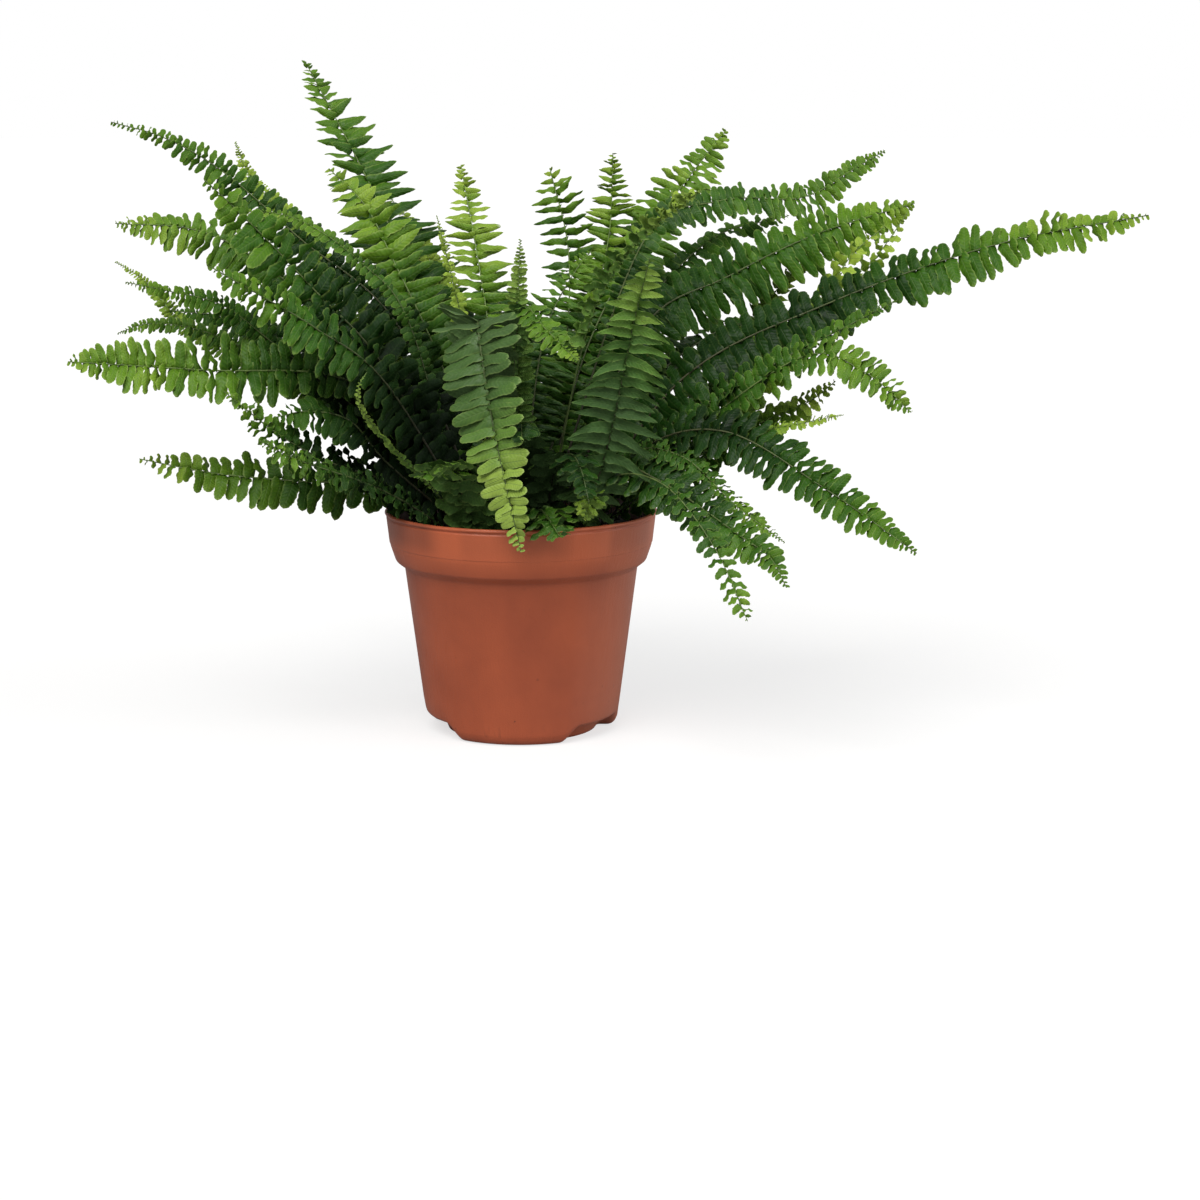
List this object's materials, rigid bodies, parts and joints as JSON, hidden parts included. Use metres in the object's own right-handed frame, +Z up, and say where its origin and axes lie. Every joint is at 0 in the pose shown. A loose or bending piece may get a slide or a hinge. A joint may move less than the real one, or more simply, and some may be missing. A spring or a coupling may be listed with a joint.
{
  "type": "potted fern",
  "caption": "Bushy fern with arching feathery fronds, growing in soil in a tapered plastic nursery pot with a deep collar.",
  "frame": {"origin": "the middle of the pot's base, on the surface that it stands on", "axes": "+Z up, +X to the right and +Y to the back for a viewer in front of the plant"},
  "size_m": [0.5397, 0.3383, 0.3437],
  "materials": {
    "pot_plastic": "satin",
    "potting_soil": "matte",
    "frond_old": "satin",
    "frond_green": "satin",
    "frond_young": "satin"
  },
  "bodies": {
    "root": {"pot": "pot_plastic", "soil": "potting_soil", "frond_left_01": "frond_old", "frond_left_02": "frond_young", "frond_left_03": "frond_old", "frond_left_04": "frond_green", "frond_left_05": "frond_green", "frond_left_06": "frond_young", "frond_left_07": "frond_old", "frond_left_08": "frond_green", "frond_left_09": "frond_green", "frond_left_10": "frond_old", "frond_left_11": "frond_old", "frond_left_12": "frond_green", "frond_left_13": "frond_old", "frond_left_14": "frond_green", "frond_middle_01": "frond_green", "frond_middle_02": "frond_green", "frond_middle_03": "frond_young", "frond_middle_04": "frond_young", "frond_middle_05": "frond_young", "frond_middle_06": "frond_young", "frond_middle_07": "frond_green", "frond_middle_08": "frond_green", "frond_middle_09": "frond_green", "frond_middle_10": "frond_green", "frond_middle_11": "frond_old", "frond_middle_12": "frond_green", "frond_middle_13": "frond_young", "frond_middle_14": "frond_green", "frond_middle_15": "frond_young", "frond_middle_16": "frond_green", "frond_right_01": "frond_old", "frond_right_02": "frond_green", "frond_right_03": "frond_old", "frond_right_04": "frond_young", "frond_right_05": "frond_young", "frond_right_06": "frond_green", "frond_right_07": "frond_green", "frond_right_08": "frond_green", "frond_right_09": "frond_young", "frond_right_10": "frond_green", "frond_right_11": "frond_old", "frond_right_12": "frond_green", "frond_right_13": "frond_green", "frond_right_14": "frond_green", "frond_right_15": "frond_green", "frond_right_16": "frond_young", "frond_right_17": "frond_old", "frond_right_18": "frond_old", "frond_front_01": "frond_green", "frond_front_02": "frond_old", "frond_front_03": "frond_old", "frond_front_04": "frond_old", "frond_back_01": "frond_old", "frond_back_02": "frond_green", "frond_back_03": "frond_old", "frond_back_04": "frond_old", "frond_back_05": "frond_green", "frond_back_06": "frond_old"}
  },
  "joints": []
}
